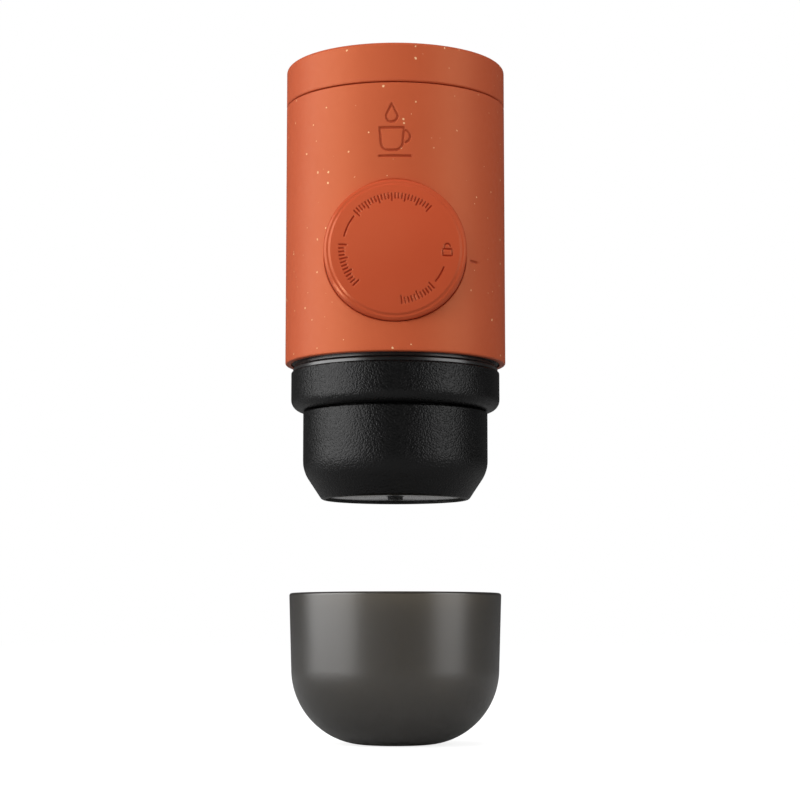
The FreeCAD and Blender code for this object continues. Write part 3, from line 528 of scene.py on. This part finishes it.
def textured_black():
    """Black plastic with a fine leather-like mould texture."""
    n = Nodes("textured_black_leather")
    values = {"Scale": 2300.0, "Vector": n.place()}
    cells = n.add("ShaderNodeTexVoronoi", values, feature="SMOOTH_F1")
    coarse = n.noise(1500, 2)
    height = n.math("SUBTRACT", n.math("MULTIPLY", coarse, 0.3), cells.outputs["Distance"])
    tones = colour(0.0018, 0.0018, 0.0019), colour(0.0036, 0.0036, 0.0037)
    n.set(Base_Color=n.mix(n.noise(400, 3), *tones))
    n.set(Roughness=n.spread(coarse, 0.28, 0.41), Specular_IOR_Level=0.38)
    n.set(Normal=n.bump(height, 0.00018, 0.8))
    return n.material


def black_plastic(name, level, rough, grain=0.2, gloss=0.0):
    """Plain black or grey plastic, with a coat where it is glossy."""
    n = Nodes(name)
    n.set(Specular_IOR_Level=0.5 + gloss / 2, Coat_Weight=gloss, Coat_Roughness=rough)
    n.set(Base_Color=n.tones(n.noise(300, 2), (level, level, level), 1.0, 1.3))
    n.set(Roughness=n.spread(n.noise(500, 2), rough, rough + 0.07))
    n.set(Normal=n.bump(n.noise(2200, 2), 0.00003, grain))
    return n.material


def pale_plastic(name, tone, rough):
    """Undyed plastic that lets a little light in."""
    n = Nodes(name)
    n.set(Base_Color=n.tones(n.noise(250, 3), tone, 0.93))
    n.set(Roughness=n.spread(n.noise(500, 2), rough, rough + 0.08))
    n.set(Subsurface_Weight=0.08, Subsurface_Radius=(0.002, 0.002, 0.002))
    n.set(Normal=n.bump(n.noise(1800, 2), 0.00003, 0.2))
    return n.material


def clear_plastic(name, tone, rough, clear, smoke=None, coat=0.0):
    """Translucent moulded plastic; smoke is what a metre of it absorbs of each colour."""
    n = Nodes(name)
    if smoke:
        most = max(smoke) * 1.02
        taken = colour(*[1 - s / most for s in smoke])
        body = n.add("ShaderNodeVolumeAbsorption", {"Color": taken, "Density": most})
        n.feed(n.out.inputs["Volume"], body)
    n.set(Base_Color=n.tones(n.noise(60, 2), tone, 0.94))
    n.set(Roughness=rough, Transmission_Weight=clear, IOR=1.46)
    n.set(Coat_Weight=coat, Coat_Roughness=0.33, Coat_IOR=1.95, Specular_IOR_Level=0.5 + coat / 2)
    n.set(Normal=n.bump(n.noise(1500, 2), 0.00002, 0.15))
    return n.material


def metal(name, tone, rough, spun):
    """Metal with fine rings about the upright axis where it is spun, or fine grain."""
    n = Nodes(name)
    if spun:
        parts = n.add("ShaderNodeSeparateXYZ", {"Vector": n.place()})
        squares = [n.math("POWER", parts.outputs[axis], 2.0) for axis in (0, 1)]
        reach = n.math("SQRT", n.math("ADD", *squares))
        rings = n.add("ShaderNodeCombineXYZ", {"X": reach})
        marks = n.noise(4200, 3, rings.outputs[0])
    else:
        marks = n.noise(2500, 4)
    n.set(Base_Color=n.tones(marks, tone, 0.85), Metallic=1.0)
    n.set(Roughness=n.spread(marks, rough, rough + 0.12))
    n.set(Normal=n.bump(marks, 0.00002, 0.5))
    if spun:
        tangent = n.add("ShaderNodeTangent", direction_type="RADIAL", axis="Z")
        n.set(Anisotropic=0.8, Tangent=tangent)
    return n.material


def rubber(name, tone):
    """Matt rubber or silicone."""
    n = Nodes(name)
    n.set(Base_Color=n.tones(n.noise(500, 3), tone, 0.85))
    n.set(Roughness=0.72, Normal=n.bump(n.noise(1600, 3), 0.00004, 0.4))
    return n.material


def materials():
    """The material of each slot of the record."""
    smoke = (630, 700, 840)
    return {
        "orange_plastic": orange_plastic("orange_flecked", True, 1.0, 0.6, (0.42, 0.5), 0.35),
        "textured_black": textured_black(),
        "gloss_black": black_plastic("polished_black", 0.004, 0.28, 0.05, 1.0),
        "black_plastic": black_plastic("satin_black", 0.011, 0.4),
        "inner_plastic": black_plastic("inner_grey", 0.035, 0.5),
        "pump_plastic": pale_plastic("pump_natural", (0.56, 0.55, 0.5), 0.38),
        "tank_plastic": clear_plastic("tank_clear_smoke", (0.5, 0.5, 0.49), 0.12, 0.8),
        "smoke_plastic": clear_plastic("cup_smoke", (0.29, 0.26, 0.205), 0.34, 0.95, smoke, 1.0),
        "steel": metal("fine_steel", (0.42, 0.41, 0.4), 0.28, False),
        "brushed_plate": metal("spun_steel", (0.9, 0.9, 0.9), 0.24, True),
        "spring_steel": metal("spring_wire", (0.4, 0.4, 0.42), 0.22, False),
        "brass": metal("turned_brass", (0.55, 0.38, 0.12), 0.25, True),
        "rubber": rubber("black_rubber", (0.012, 0.012, 0.012)),
        "silicone": rubber("pale_silicone", (0.5, 0.49, 0.46)),
    }


def paint(piece, material):
    if not piece.material_slots:
        piece.data.materials.append(material)
    for slot in piece.material_slots:
        slot.material = material


# ---------------------------------------------------------------- stage, light and camera

def pale_floor():
    """A plain floor that looks nearly white but sends less light back to the part."""
    n = Nodes("pale_floor")
    lit = n.add("ShaderNodeBsdfDiffuse", {"Color": colour(0.5, 0.5, 0.5)})
    glow = n.add("ShaderNodeEmission", {"Color": colour(1, 1, 1), "Strength": 0.82})
    seen = n.add("ShaderNodeAddShader", {0: lit, 1: glow})
    plain = n.add("ShaderNodeBsdfDiffuse", {"Color": colour(0.3, 0.3, 0.3)})
    path = n.add("ShaderNodeLightPath")
    rays = [path.outputs[ray] for ray in ("Is Camera Ray", "Is Transmission Ray")]
    eye = n.math("ADD", *rays, clamp=True)
    n.feed(n.out.inputs["Surface"], n.add("ShaderNodeMixShader", {0: eye, 1: plain, 2: seen}))
    n.tree.nodes.remove(n.shader)

    half, z = 4.0, FLOOR * MM
    corners = [(-half, -half, z), (half, -half, z), (half, half, z), (-half, half, z)]
    mesh = bpy.data.meshes.new("floor")
    mesh.from_pydata(corners, [], [(0, 1, 2, 3)])
    floor = bpy.data.objects.new("floor", mesh)
    bpy.context.scene.collection.objects.link(floor)
    paint(floor, n.material)


def studio():
    """A world that the camera sees white, while reflections and diffuse light see it dimmer."""
    diffuse_strength, reflected_low, reflected_high = 0.36, 0.03, 0.06
    world = bpy.data.worlds.new("studio")
    bpy.context.scene.world = world
    world.use_nodes = True
    tree = world.node_tree
    tree.nodes.clear()

    def add(kind, values=None, **settings):
        node = tree.nodes.new(kind)
        for key, value in settings.items():
            setattr(node, key, value)
        for key, value in (values or {}).items():
            if isinstance(value, bpy.types.NodeSocket):
                tree.links.new(value, node.inputs[key])
            else:
                node.inputs[key].default_value = value
        return node.outputs

    def background(strength):
        return add("ShaderNodeBackground", {"Color": colour(1, 1, 1), "Strength": strength})[0]

    place = add("ShaderNodeTexCoord")["Generated"]
    back = add("ShaderNodeSeparateXYZ", {0: place})["Y"]
    values = {"Value": back, "From Min": 0.2, "From Max": 1.0,
              "To Min": reflected_low, "To Max": reflected_high}
    reflected = add("ShaderNodeMapRange", values, interpolation_type="SMOOTHSTEP")[0]
    path = add("ShaderNodeLightPath")
    rays = {0: path["Is Camera Ray"], 1: path["Is Transmission Ray"]}
    eye = add("ShaderNodeMath", rays, operation="MAXIMUM")[0]
    dim = {0: path["Is Glossy Ray"], 1: background(diffuse_strength), 2: background(reflected)}
    seen = {0: eye, 1: add("ShaderNodeMixShader", dim)[0], 2: background(1.0)}
    add("ShaderNodeOutputWorld", {"Surface": add("ShaderNodeMixShader", seen)[0]})


def softbox(name, azimuth, elevation, distance, size, power, shine=True, aim=LIGHT_AIM):
    """A light round the point it aims at; azimuth 0 is in front and positive is to the right."""
    light = bpy.data.lights.new(name, "AREA")
    light.shape = "ELLIPSE"
    light.size, light.size_y = size
    light.energy = power
    lamp = bpy.data.objects.new(name, light)
    a, e = math.radians(azimuth), math.radians(elevation)
    away = (math.sin(a) * math.cos(e), -math.cos(a) * math.cos(e), math.sin(e))
    lamp.location = [p + distance * d for p, d in zip(aim, away)]
    lamp.rotation_euler = (math.pi / 2 - e, 0, a)
    lamp.visible_glossy = shine
    bpy.context.scene.collection.objects.link(lamp)
    return lamp


def lights():
    """Four boxes round the part, and a low one that gives the knob's edge its highlight."""
    softbox("key", -74, 8, 0.85, (1.1, 1.1), 7.7)
    softbox("front", -22, 22, 1.0, (0.9, 0.7), 3.1, False)
    softbox("fill", 61, 12, 0.95, (0.7, 1.0), 3.1)
    softbox("top", 0, 82, 0.9, (0.8, 0.8), 2.0, False)
    # The low box tilts away from the cup, and reflections alone see it.
    low = softbox("low", 114, -78, 0.0, (0.17, 0.17), 0.5, aim=(-0.2, -0.09, FLOOR * MM + 0.03))
    low.visible_camera = low.visible_diffuse = low.visible_transmission = False


def camera():
    """The camera that sees the part as the photograph does."""
    data = bpy.data.cameras.new("camera")
    data.sensor_width = CAMERA_SENSOR
    data.lens = CAMERA_LENS
    data.clip_start = 0.01
    eye = bpy.data.objects.new("camera", data)
    eye.location = CAMERA_PLACE
    eye.rotation_euler = (math.radians(90 + CAMERA_TILT), 0, 0)
    bpy.context.scene.collection.objects.link(eye)
    bpy.context.scene.camera = eye


# ---------------------------------------------------------------- the making

camera()
kinds = materials()
for row in frame["record"]["subparts"]:
    paint(frame["nodes"][row["node"]], kinds[row["material_slot"]])
shell = sleeve()
paint(shell, kinds["orange_plastic"])
cap = knob()
paint(cap, orange_plastic("orange_plain", False, 0.85, 1.0, (0.25, 0.262), 0.06))
rim = channel_rim()
paint(rim, kinds["gloss_black"])
springs = [
    spring_coil("return_spring", 11.5, 0.7, 8, -2.2, -30.5),
    spring_coil("inlet_spring", 1.8, 0.25, 4, 4.27, 9.2, VALVE_BACK),
    spring_coil("outlet_spring", 1.8, 0.25, 4, -10.73, -5.8, VALVE_BACK),
]
for spring in springs:
    paint(spring, kinds["spring_steel"])
pale_floor()
studio()
lights()
bpy.context.scene.view_settings.view_transform = "Standard"
